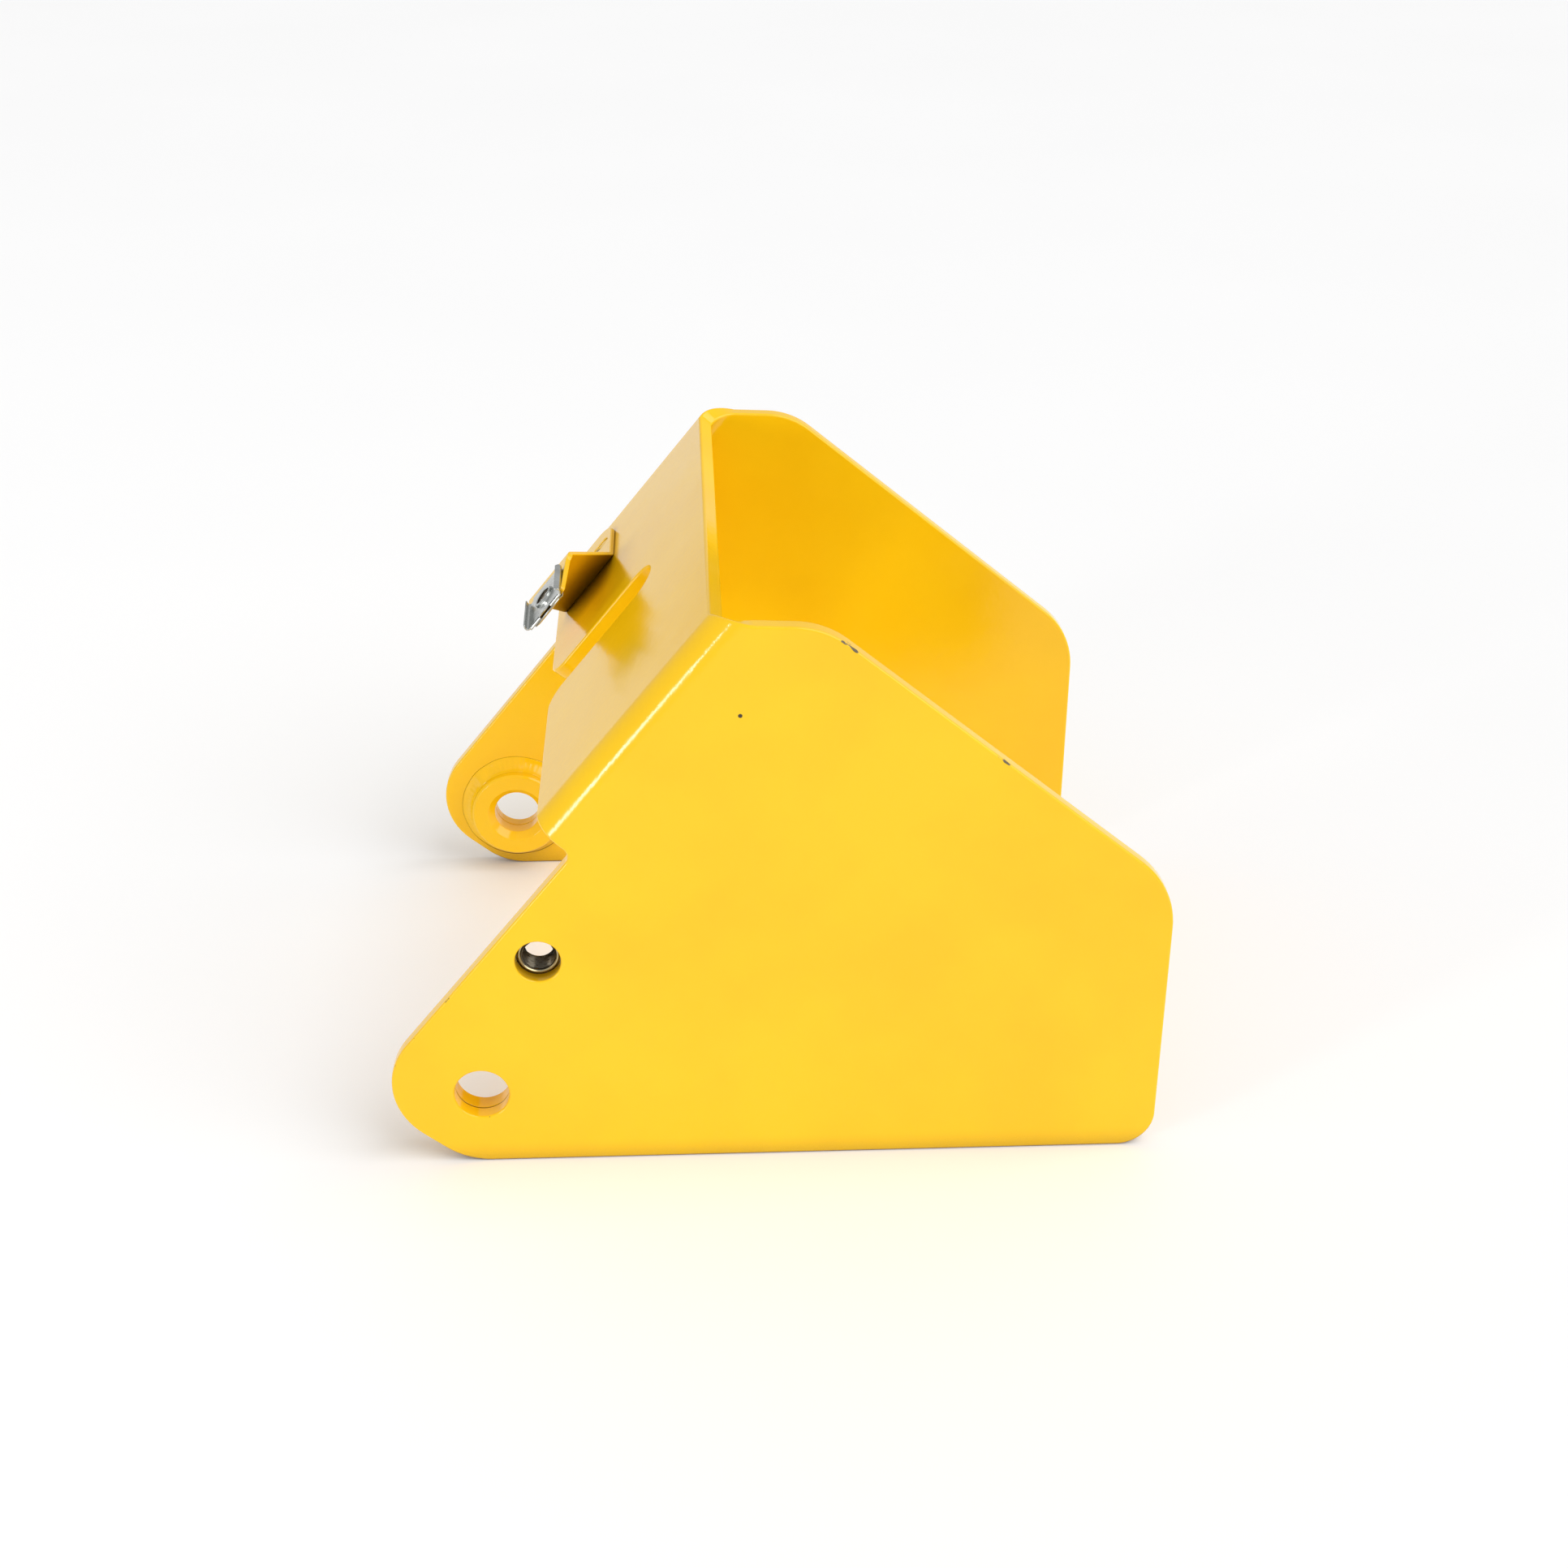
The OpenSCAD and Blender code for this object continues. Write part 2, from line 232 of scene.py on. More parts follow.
# Colours, as linear red, green and blue
YELLOW = (0.95, 0.565, 0.004)
YELLOW_DEEP = (0.93, 0.545, 0.004)
YELLOW_LIGHT = (0.965, 0.585, 0.005)
# Painted shade: the coat's colour where surfaces meet closely
YELLOW_PAINTED_SHADE = (0.26, 0.125, 0.002)
SCUFF_BROWN = (0.10, 0.075, 0.04)
CHIP_DARK = (0.045, 0.03, 0.015)
ZINC_YELLOW = (0.60, 0.52, 0.30)
THREAD_DARK = (0.10, 0.085, 0.06)
SPRING_BRIGHT = (0.60, 0.62, 0.60)
FLOOR_WHITE = (0.96, 0.96, 0.96)
FLOOR_LOW = (0.955, 0.955, 0.955)
FLOOR_HIGH = (0.97, 0.97, 0.97)

# The stage, in metres and degrees
FLOOR_HALF = 6.0
WORLD_STRENGTH = 0.59
KEY_TARGET = (0.05, -0.1, 0.06)
KEY_TOWARD = (-0.77, -0.62, 0.15)
KEY_DISTANCE = 1.6
KEY_SIZE = (0.20, 0.45)
KEY_POWER = 5.8
SUN_TOWARD = (0.6, -0.3, 0.74)
SUN_SPREAD = 60
SUN_STRENGTH = 1.9
CAMERA_TURN = (2.88, 27.40, 0.31)
CAMERA_AT = (0.07240, -0.74568, 0.44922)
CAMERA_LENS = 50.795
CAMERA_SENSOR = 36


# ---------------------------------------------------------------- small helpers

def arc(cx, cy, r, start, end):
    """Points along an arc, angles in degrees, both ends included."""
    steps = max(2, math.ceil(abs(math.radians(end - start)) / ARC_STEP))
    angles = [math.radians(start + (end - start) * i / steps) for i in range(steps + 1)]
    return [(cx + r * math.cos(a), cy + r * math.sin(a)) for a in angles]


def crossing(p, q):
    """Point where two straight edges cross."""
    a, b = math.radians(p[0]), math.radians(q[0])
    d = math.sin(b - a)
    x = (p[1] * math.sin(b) - q[1] * math.sin(a)) / d
    y = (q[1] * math.cos(a) - p[1] * math.cos(b)) / d
    return x, y


def corner(p, q, r):
    """The arc that rounds an outside corner between edges p and q."""
    turn = (q[0] - p[0]) % 360
    x, y = crossing(p, q)
    a = math.radians(p[0])
    back = r * math.tan(math.radians(turn) / 2)
    cx = x + back * math.sin(a) - r * math.cos(a)
    cy = y - back * math.cos(a) - r * math.sin(a)
    return arc(cx, cy, r, p[0], p[0] + turn)


def add_object(name, verts, faces, body="root"):
    """A mesh object in the scene, riding the given body unless that is None."""
    mesh = bpy.data.meshes.new(name)
    mesh.from_pydata([tuple(v) for v in verts], [], faces)
    mesh.update()
    obj = bpy.data.objects.new(name, mesh)
    bpy.context.scene.collection.objects.link(obj)
    if body:
        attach(obj, body)
    return obj


def add_ring(name, rows):
    """A closed ring of rows of points: each row is a loop, joined to the next, and the last to the first."""
    n = len(rows[0])
    faces = []
    for i in range(len(rows)):
        k = (i + 1) % len(rows)
        for j in range(n):
            m = (j + 1) % n
            faces.append((i * n + j, i * n + m, k * n + m, k * n + j))
    obj = add_object(name, [v for row in rows for v in row], faces)
    fix_winding(obj)
    return obj


def shade_smooth(obj):
    """Smooth shading on every face."""
    obj.data.polygons.foreach_set("use_smooth", [True] * len(obj.data.polygons))


def set_wear(obj, values):
    """Stores how worn each vertex is, for the paint to read."""
    layer = obj.data.attributes.new("wear", "FLOAT", "POINT")
    layer.data.foreach_set("value", values)


# ---------------------------------------------------------------- folded sheet

def split_at(loop, lines):
    """Adds a point wherever a loop crosses one of the fold lines t = line."""
    out = []
    for i, (a, t) in enumerate(loop):
        out.append((a, t))
        b, u = loop[(i + 1) % len(loop)]
        hits = [c for c in lines if min(t, u) + CROSS_TOL < c < max(t, u) - CROSS_TOL]
        for c in sorted(hits, reverse=t > u):
            out.append((a + (b - a) * (c - t) / (u - t), c))
    return out


def inward(loop):
    """Mitred inward direction at each point of a loop whose material lies on its left."""
    out = []
    n = len(loop)
    for i in range(n):
        p, q, r = Vector(loop[i - 1]), Vector(loop[i]), Vector(loop[(i + 1) % n])
        d, e = (q - p).normalized(), (r - q).normalized()
        m, k = Vector((-d.y, d.x)), Vector((-e.y, e.x))
        both = m + k
        out.append(both / max(MITRE_LEAST, both.dot(m)))
    return out


def sheet_rings(loop, thick, edge, steps):
    """Rings of (a, t, h, direction, lift, wear) round a loop, from the top face over the rim to the other."""
    dirs = inward(loop)
    rings = []
    for side in (1, -1):
        for k in range(steps + 1):
            phi = math.pi / 2 * (steps - k if side == 1 else k) / steps
            inset = edge * (1 - math.cos(phi))
            high = side * (thick / 2 - edge + edge * math.sin(phi))
            wear = WEAR_RIM + (1 - WEAR_RIM) * math.sin(2 * phi) if phi < WEAR_UP_TO else 0.0
            ring = []
            for (a, t), d in zip(loop, dirs):
                n = d.normalized()
                out_a, out_t = -n.x * math.cos(phi), -n.y * math.cos(phi)
                lift = side * math.sin(phi)
                ring.append((a + d.x * inset, t + d.y * inset, high, (out_a, out_t), lift, wear))
            rings.append(ring)
    return rings


def flat_triangles(loops, lines, inner):
    """Triangles over the sheet's flat pattern, with edges kept along the fold lines."""
    points, edges, owner = [], [], []
    for k, ring in enumerate(inner):
        first = len(points)
        points += [Vector(p[:2]) for p in ring]
        owner += [(k, i) for i in range(len(ring))]
        edges += [(first + i, first + (i + 1) % len(ring)) for i in range(len(ring))]
    flat = [p for loop in loops for p in loop]
    for c in lines:
        on = [i for i, p in enumerate(flat) if abs(p[1] - c) < ON_LINE_TOL]
        on.sort(key=lambda i: flat[i][0])
        edges += [(on[i], on[i + 1]) for i in range(0, len(on) - 1, 2)]
    result = delaunay_2d_cdt(points, edges, [], 0, MERGE_TOL)
    out_points, triangles = result[0], result[2]
    match = {}
    for new, olds in enumerate(result[3]):
        if olds:
            match[new] = owner[olds[0]]
    return out_points, triangles, match


def inside(point, loops):
    """Even-odd test against every loop."""
    x, y = point
    odd = False
    for loop in loops:
        for i in range(len(loop)):
            (a, b), (c, d) = loop[i - 1][:2], loop[i][:2]
            if (b > y) != (d > y) and x < a + (c - a) * (y - b) / (d - b):
                odd = not odd
    return odd


def broad_faces(loops, lines, top, index, last):
    """Triangles over the sheet's two broad faces, inside its outline and outside its holes."""
    points, triangles, match = flat_triangles(loops, lines, top)
    faces = []
    for tri in triangles:
        middle = sum((points[i] for i in tri), Vector((0, 0))) / 3
        if not inside(middle, top) or any(i not in match for i in tri):
            continue
        faces.append(tuple(index[match[i][0], 0, match[i][1]] for i in tri))
        faces.append(tuple(index[match[i][0], last, match[i][1]] for i in reversed(tri)))
    return faces


def folded_sheet(name, loops, lines, path, place, thick, edge=EDGE_R, steps=4):
    """A closed sheet from flat outline loops, with rounded rims, folded along its path.

    path(t) gives the mid-surface point, tangent and normal in the fold's section;
    place(a, point) puts a section point into the object's frame, in millimetres.
    """
    loops = [split_at(loop, lines) for loop in loops]
    rings = [sheet_rings(loop, thick, edge, steps) for loop in loops]
    verts, normals, wear, faces, index = [], [], [], [], {}
    origin = place(0, (0, 0))
    along = place(1, (0, 0)) - origin

    def turned(p, q):
        return place(0, (p, q)) - origin

    for k, loop_rings in enumerate(rings):
        for j, ring in enumerate(loop_rings):
            for i, (a, t, h, d, lift, worn) in enumerate(ring):
                point, tangent, normal = path(t)
                index[k, j, i] = len(verts)
                verts.append(place(a, (point[0] + h * normal[0], point[1] + h * normal[1])) * MM)
                side = along * d[0] + turned(*tangent) * d[1] + turned(*normal) * lift
                normals.append(side.normalized())
                wear.append(worn)
        count = len(loop_rings[0])
        for j in range(len(loop_rings) - 1):
            for i in range(count):
                n = (i + 1) % count
                faces.append((index[k, j, i], index[k, j + 1, i], index[k, j + 1, n], index[k, j, n]))
    top = [loop_rings[0] for loop_rings in rings]
    faces += broad_faces(loops, lines, top, index, 2 * steps + 1)
    obj = add_object(name, verts, faces)
    fix_winding(obj)
    set_wear(obj, wear)
    smooth_with(obj, normals)
    return obj


def fold_path(points, radius, strips=6):
    """A section that follows points with round bends: its path, fold lines, bend middles and length."""
    points = [Vector(p) for p in points]
    pieces, lines, marks = [], [], []
    t, place = 0.0, points[0]
    for i in range(1, len(points)):
        d = (points[i] - points[i - 1]).normalized()
        turn, back = 0.0, 0.0
        if i < len(points) - 1:
            e = (points[i + 1] - points[i]).normalized()
            turn = math.atan2(d.x * e.y - d.y * e.x, d.dot(e))
            back = radius * math.tan(abs(turn) / 2)
        end = points[i] - d * back
        pieces.append((t, place, d, 0.0))
        t += (end - place).length
        if turn:
            pieces.append((t, end, d, math.copysign(radius, turn)))
            lines += [t + radius * abs(turn) * k / strips for k in range(strips + 1)]
            marks.append(t + radius * abs(turn) / 2)
            t += radius * abs(turn)
            place = points[i] + e * back

    def path(u):
        start, at, d, r = [p for p in pieces if p[0] <= max(u, 0.0) + START_TOL][-1]
        if not r:
            q = at + d * (u - start)
            return (q.x, q.y), (d.x, d.y), (d.y, -d.x)
        w = (u - start) / r
        q = Vector((d.x * math.cos(w) - d.y * math.sin(w), d.x * math.sin(w) + d.y * math.cos(w)))
        q_at = at + Vector((-d.y, d.x)) * r - Vector((-q.y, q.x)) * r
        return (q_at.x, q_at.y), (q.x, q.y), (q.y, -q.x)

    return path, lines, marks, t


def fix_winding(obj):
    """Turns every face outward."""
    bm = bmesh.new()
    bm.from_mesh(obj.data)
    bmesh.ops.recalc_face_normals(bm, faces=bm.faces)
    bm.to_mesh(obj.data)
    bm.free()


def smooth_with(obj, normals):
    """Smooth shading with a given normal at each vertex."""
    shade_smooth(obj)
    obj.data.normals_split_custom_set_from_vertices([tuple(n) for n in normals])


# ---------------------------------------------------------------- hood

HOOD_MID = SHEET / 2
BEND_MID = BEND_R + HOOD_MID
FLAT_HALF = HALF_W - SHEET - BEND_R
CHEEK_T = FLAT_HALF + BEND_MID * math.pi / 2
CHEEK_N = WEB_OFF - HOOD_MID - BEND_MID


def hood_path(t):
    """The hood's section across the web: flat, bend, cheek, the same on both sides."""
    s = -1 if t < 0 else 1
    u = abs(t)
    if u <= FLAT_HALF:
        return (t, WEB_OFF - HOOD_MID), (1, 0), (0, 1)
    if u < CHEEK_T:
        w = (u - FLAT_HALF) / BEND_MID
        point = (s * (FLAT_HALF + BEND_MID * math.sin(w)), CHEEK_N + BEND_MID * math.cos(w))
        return point, (math.cos(w), -s * math.sin(w)), (s * math.sin(w), math.cos(w))
    return (s * (HALF_W - HOOD_MID), CHEEK_N - (u - CHEEK_T)), (0, -s), (s, 0)


def web_place(a, point):
    """From the web's frame (up the slope, across, out of the web) to the object's."""
    y, n = point
    return Vector((a * math.cos(RAKE) - n * math.sin(RAKE), y, a * math.sin(RAKE) + n * math.cos(RAKE)))


def to_flat(s, n):
    """From a point of the cheek (up the slope, out of the web's plane) to the flat pattern."""
    return s, CHEEK_T + CHEEK_N - n


def cheek_half():
    """The outline of one cheek in the flat pattern, from the web's high end round to its low end."""
    points = arc(WEB_LO - NOTCH_R, SLANT_OFF + NOTCH_R, NOTCH_R, 0, -90)
    for i, r in enumerate(CHEEK_RADII):
        points += corner(CHEEK_EDGES[i], CHEEK_EDGES[i + 1], r)
    turn, reach = CHEEK_EDGES[-1]
    w = math.radians(turn)
    points.append(((reach - CHEEK_N * math.sin(w)) / math.cos(w), CHEEK_N))
    flat = [to_flat(*p) for p in reversed(points)]
    return [(WEB_HI, FLAT_HALF)] + flat + [(WEB_LO, FLAT_HALF)]


def slot_edge():
    """The web's low edge in the flat pattern, in along one side of the open slot and out along the other."""
    mouth = arc(WEB_LO + MOUTH_R, SLOT_R + MOUTH_R, MOUTH_R, 180, 270)
    tip = arc(SLOT_END - SLOT_R, 0, SLOT_R, 90, -90)
    return mouth + tip + [(a, -t) for a, t in reversed(mouth)]


def hole_loop(x, z, r, side):
    """A round hole in a cheek, its middle given in the object's frame, as a loop in the flat pattern."""
    s = x * math.cos(RAKE) + z * math.sin(RAKE)
    n = -x * math.sin(RAKE) + z * math.cos(RAKE)
    a, t = to_flat(s, n)
    return arc(a, side * t, r, 360, 0)[:-1]


def scuff_slope(obj):
    """More wear along the near cheek's sloping edge, which takes the knocks."""
    layer = obj.data.attributes["wear"].data
    for vert, worn in zip(obj.data.vertices, layer):
        along = (vert.co.x * math.cos(RAKE) + vert.co.z * math.sin(RAKE)) / MM
        if vert.co.y < 0 and along > CHEEK_EDGES[4][1] - SCUFF_DEPTH and worn.value > SCUFF_FROM:
            worn.value += SCUFF_EXTRA


def both_sides(bend):
    """The fold lines of a bend, given for positive t, and their mirror images."""
    return [-c for c in reversed(bend)] + bend


def make_hood():
    """The folded plate: the sloping web with its open slot and the two cheeks with their holes."""
    far = cheek_half()
    near = [(a, -t) for a, t in reversed(far)]
    outer = far + slot_edge() + near
    holes = [hole_loop(0, 0, PIVOT_R, 1), hole_loop(0, 0, PIVOT_R, -1), hole_loop(*SIDE, SIDE_R, -1)]
    strips = 12
    lines = both_sides([FLAT_HALF + (CHEEK_T - FLAT_HALF) * i / strips for i in range(strips + 1)])
    obj = folded_sheet("hood_sheet", [outer] + holes, lines, hood_path, web_place, SHEET)
    scuff_slope(obj)
    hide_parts("hood_shell")
    return obj


# ---------------------------------------------------------------- turned pieces

def lathe(name, profile, centre, axis_sign, segments=96):
    """Turns (radius, depth) points about a Y axis through centre; depth runs along axis_sign * Y."""
    rows = []
    for i in range(segments):
        w = 2 * math.pi * i / segments
        rows.append([Vector((centre[0] + r * math.cos(w), centre[1] + axis_sign * d,
                             centre[2] + r * math.sin(w))) * MM for r, d in profile])
    return add_ring(name, rows)


def soften(obj, width, segments=3, angle=30):
    """Small rounds on the edges that turn by more than the angle."""
    bevel = obj.modifiers.new("soft_edges", "BEVEL")
    bevel.width = width * MM
    bevel.segments = segments
    bevel.limit_method = "ANGLE"
    bevel.angle_limit = math.radians(angle)
    bevel.harden_normals = True
    shade_smooth(obj)


def make_boss(name, node, side):
    """A turned boss on the inside of a cheek, with a chamfered inner mouth."""
    face = HALF_W - SHEET
    profile = [
        (PIVOT_R, 0),
        (BOSS_R, 0),
        (BOSS_R, BOSS_H - BOSS_CHAMFER),
        (BOSS_R - BOSS_CHAMFER, BOSS_H),
        (PIVOT_R + BOSS_SINK, BOSS_H),
        (PIVOT_R, BOSS_H - BOSS_SINK),
    ]
    obj = lathe(name, profile, (0, side * face, 0), -side)
    soften(obj, BOSS_SOFT)
    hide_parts(node)
    return obj


def weld_section(w, phases, steps=12):
    """The bead's section at angle w round the boss, as (radius, depth from the cheek) points."""
    wave = sum(math.sin(w * f + p) for f, p in zip(WELD_WAVES, phases)) / len(WELD_WAVES)
    lump = math.exp(-((w - WELD_LUMP_AT) / WELD_LUMP_SPAN) ** 2)
    ripple = abs(math.sin(w * WELD_RIPPLES + phases[0])) ** WELD_RIPPLE_SHARP
    full = 1 - WELD_UNEVEN + WELD_UNEVEN * wave
    swollen = WELD_CROWN + WELD_RIPPLE * ripple + WELD_WAVE * wave + WELD_LUMP * lump
    section = [(BOSS_R - WELD_INTO_BOSS, -WELD_INTO_CHEEK)]
    for k in range(steps + 1):
        u = k / steps
        q = math.pi / 2 * u
        r = BOSS_R + WELD_LEG * (1 - math.sin(q)) * full
        d = WELD_LEG * (1 - math.cos(q)) * full
        swell = WELD_DIAGONAL * (math.sin(math.pi * u) * swollen)
        section.append((r + swell, max(d + swell, 0.0)))
    section.append((BOSS_R - WELD_INTO_BOSS, WELD_LEG * WELD_TOP))
    return section


def make_boss_weld(name, node, side, seed):
    """A hand-laid fillet bead round a boss: hollow, with faint ripples and one start lump."""
    rng = random.Random(seed)
    phases = [rng.uniform(0, 2 * math.pi) for _ in WELD_WAVES]
    face = HALF_W - SHEET
    segments = 240
    rows = []
    for i in range(segments):
        w = 2 * math.pi * i / segments
        rows.append([Vector((r * math.cos(w), side * (face - d), r * math.sin(w))) * MM
                     for r, d in weld_section(w, phases)])
    obj = add_ring(name, rows)
    shade_smooth(obj)
    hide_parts(node)
    return obj


# ---------------------------------------------------------------- side nut

def hex_radius(w):
    """The distance from a hexagon's middle to its outline at angle w."""
    sixth = math.pi / 3
    return NUT_AF / 2 / math.cos((w % sixth) - sixth / 2)


def nut_outside(w):
    """The nut's outer profile at angle w, as (radius, depth) from the collar's tip to the far face."""
    flat = NUT_AF / 2
    full = hex_radius(w)
    return [
        (COLLAR_R - COLLAR_EASE, -NUT_COLLAR),
        (COLLAR_R, -NUT_COLLAR + COLLAR_EASE),
        (COLLAR_R, 0.0),
        (min(full, flat + NUT_SEAT_PAST), 0.0),
        (full, NUT_SEAT_CHAMFER),
        (full, NUT_H - NUT_FACE_CHAMFER),
        (min(full, flat + NUT_FACE_PAST), NUT_H),
        (THREAD_MINOR + THREAD_DEEP + THREAD_MOUTH, NUT_H),
    ]


def nut_thread(w, per_turn=10):
    """The nut's thread at angle w, as (radius, depth) from the far face back to the collar's tip."""
    long = NUT_H + NUT_COLLAR
    rings = int(long / THREAD_PITCH * per_turn)
    profile = []
    for k in range(rings + 1):
        d = NUT_H - THREAD_END - (long - 2 * THREAD_END) * k / rings
        saw = (d / THREAD_PITCH + w / (2 * math.pi)) % 1
        deep = THREAD_DEEP * min(1.0, THREAD_CREST * (1 - abs(2 * saw - 1)))
        share = min(1.0, k / THREAD_FADE, (rings - k) / THREAD_FADE)
        profile.append((THREAD_MINOR + deep * share + (1 - share) * (THREAD_DEEP + THREAD_RUNOUT), d))
    return profile


def make_side_nut(plate, dark):
    """A hex weld nut behind the near cheek, its collar in the hole, with a real coarse thread."""
    segments = 120
    seat = HALF_W - SHEET
    rows = []
    for i in range(segments):
        w = 2 * math.pi * i / segments
        mouth = (THREAD_MINOR + THREAD_DEEP + THREAD_COLLAR_MOUTH, -NUT_COLLAR)
        profile = nut_outside(w) + nut_thread(w) + [mouth]
        rows.append([Vector((SIDE[0] + r * math.cos(w), -(seat - d), SIDE[1] + r * math.sin(w))) * MM
                     for r, d in profile])
    obj = add_ring("side_weld_nut_threaded", rows)
    paint(obj, plate, dark)
    threaded = range(len(nut_outside(0)), len(rows[0]) - 2)
    mark_second(obj, threaded, len(rows[0]), segments)
    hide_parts("side_weld_nut")
    return obj


def mark_second(obj, dark_faces, per_row, rows):
    """Gives the second material to the faces of a ring whose number in their row is in dark_faces."""
    marks = [1 if j in dark_faces else 0 for j in range(per_row)]
    obj.data.polygons.foreach_set("material_index", marks * rows)


# ---------------------------------------------------------------- clip bracket

ARM_TOP_Y = BRACKET_FOLD_Y + BRACKET_T * math.tan(ARM_ANGLE / 2) - ARM_LEN * math.cos(ARM_ANGLE)
ARM_TOP_N = WEB_OFF + BRACKET_T + ARM_LEN * math.sin(ARM_ANGLE)
BRACKET_MID = (BRACKET_LO + BRACKET_HI) / 2


def flange_point(y, z):
    """From the flange's own section (back along it, up from its face) to the web's section."""
    return (ARM_TOP_Y + y * math.cos(DROOP) - z * math.sin(DROOP),
            ARM_TOP_N + y * math.sin(DROOP) + z * math.cos(DROOP))


def slot_loop(a, t, length, width):
    """A slot with round ends, as a loop in the flat pattern."""
    r = width / 2
    reach = length / 2 - r
    right = arc(a + reach, t, r, 90, -90)
    left = arc(a - reach, t, r, 270, 90)
    return right + left


def bracket_outline(length, marks):
    """The bracket's outline in its flat pattern: round the foot, up the high side, the tongue and back."""
    lo, hi, r = BRACKET_LO, BRACKET_HI, BRACKET_CORNER
    root = marks[1] + FLANGE_ROOT
    low, high = [BRACKET_MID + CLIP_UP + s * TONGUE_W / 2 for s in (-1, 1)]
    ease = hi - high
    outer = arc(lo + r, r, r, 180, 270) + arc(hi - r, r, r, 270, 360)
    outer += arc(hi - ease, marks[1] + TONGUE_EASE_PAST, ease, 0, TONGUE_EASE_TURN)
    outer += arc(high - TONGUE_TIP_R, length - TONGUE_TIP_R, TONGUE_TIP_R, 0, 90)
    outer += arc(low + TONGUE_TIP_R, length - TONGUE_TIP_R, TONGUE_TIP_R, 90, 180)
    outer += arc(low - TONGUE_ROOT_R, root + TONGUE_ROOT_R, TONGUE_ROOT_R, 360, 270)
    return outer + [(lo + ARM_TAPER, root), (lo + ARM_TAPER, marks[1]), (lo, marks[0])]


def make_bracket():
    """The cranked strip: a foot welded to the web, a rising arm and a flange with a tongue."""
    half = BRACKET_T / 2
    fold = half * math.tan(ARM_ANGLE / 2)
    top = half * math.tan((ARM_ANGLE + DROOP) / 2)
    section = [
        (BRACKET_FOLD_Y + BRACKET_FOOT, WEB_OFF + half),
        (BRACKET_FOLD_Y + fold, WEB_OFF + half),
        flange_point(-top, -half),
        flange_point(-FLANGE_LEN, -half),
    ]
    path, lines, marks, length = fold_path(section, BRACKET_BEND_R)
    outer = bracket_outline(length, marks)
    plug = slot_loop(BRACKET_MID, BRACKET_FOOT - PLUG_IN, PLUG_LEN, PLUG_W)
    under_clip = arc(BRACKET_MID + CLIP_UP, marks[1] - CLIP_HOLE_Y, TAIL_HOLE_R, 360, 0)[:-1]
    loops = [outer, plug, under_clip]
    obj = folded_sheet("bracket_strip", loops, lines, path, web_place, BRACKET_T, BRACKET_EDGE_R)
    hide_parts("clip_bracket")
    return obj


def plug_point(a, y, n):
    """A point of the plug weld (up the web and across it from the slot's middle, out of the web)."""
    return web_place(BRACKET_MID + a, (BRACKET_FOLD_Y + PLUG_IN + y, n)) * MM


def plug_top(outline, reach):
    """The plug weld's top, as rings of points that draw in and rise towards its middle."""
    rim = WEB_OFF + BRACKET_T - PLUG_LOW + PLUG_LIFT
    verts = []
    for k in range(PLUG_RINGS + 1):
        share = 1 - k / (PLUG_RINGS + 1)
        for a, y in outline:
            least = PLUG_END_SHARE if abs(a) > reach else PLUG_SIDE_SHARE
            along = a * (least + (1 - least) * share)
            ripple = PLUG_RIPPLE * math.sin(along * PLUG_RIPPLE_RATE)
            verts.append(plug_point(along, y * share, rim + (PLUG_CROWN + ripple) * (1 - share)))
    return verts


def make_slot_weld():
    """The plug weld that fills the foot's slot: a low pad with a rippled, slightly crowned top."""
    r = PLUG_W / 2
    reach = PLUG_LEN / 2 - r
    outline = arc(reach, 0, r, -90, 90) + arc(-reach, 0, r, 90, 270)
    n = len(outline)
    verts = plug_top(outline, reach)
    base = len(verts)
    verts += [plug_point(a, y, WEB_OFF + PLUG_FLOOR) for a, y in outline]
    faces = []
    for k in range(PLUG_RINGS):
        for i in range(n):
            m = (i + 1) % n
            faces.append((k * n + i, k * n + m, (k + 1) * n + m, (k + 1) * n + i))
    for i in range(n):
        m = (i + 1) % n
        faces.append((i, base + i, base + m, m))
    faces.append(tuple(range(PLUG_RINGS * n, PLUG_RINGS * n + n)))
    faces.append(tuple(range(base, base + n)))
    obj = add_object("bracket_plug_bead", verts, faces)
    fix_winding(obj)
    shade_smooth(obj)
    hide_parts("bracket_slot_weld")
    return obj


# ---------------------------------------------------------------- clip

CHANNEL_LEVEL = CLIP_GAP + CLIP_T / 2
CHANNEL_FLAT = CLIP_W / 2 - CLIP_T / 2 - CLIP_BEND
CHANNEL_TURN = math.pi / 2 + CLIP_SIDE_LEAN
def clip_place(y, point):
    """Clip section across the flange: point is (across from the clip's middle, up)."""
    x, z = point
    return web_place(BRACKET_MID + CLIP_UP + x, flange_point(y, z))


def leaf_place(x, point):
    """Clip section along the flange: point is (back along the flange, up)."""
    y, z = point
    return web_place(BRACKET_MID + CLIP_UP + x, flange_point(y, z))


def channel_path(t):
    """The clip's section across the flange: flat, with both sides turned up and leaning in."""
    s = -1 if t < 0 else 1
    u = abs(t)
    if u <= CHANNEL_FLAT:
        return (t, CHANNEL_LEVEL), (1, 0), (0, 1)
    w = min((u - CHANNEL_FLAT) / CLIP_BEND, CHANNEL_TURN)
    past = max(0.0, u - CHANNEL_FLAT - CLIP_BEND * CHANNEL_TURN)
    x = CHANNEL_FLAT + CLIP_BEND * math.sin(w) + past * math.cos(CHANNEL_TURN)
    z = CHANNEL_LEVEL + CLIP_BEND * (1 - math.cos(w)) + past * math.sin(CHANNEL_TURN)
    return (s * x, z), (math.cos(w), s * math.sin(w)), (-s * math.sin(w), math.cos(w))


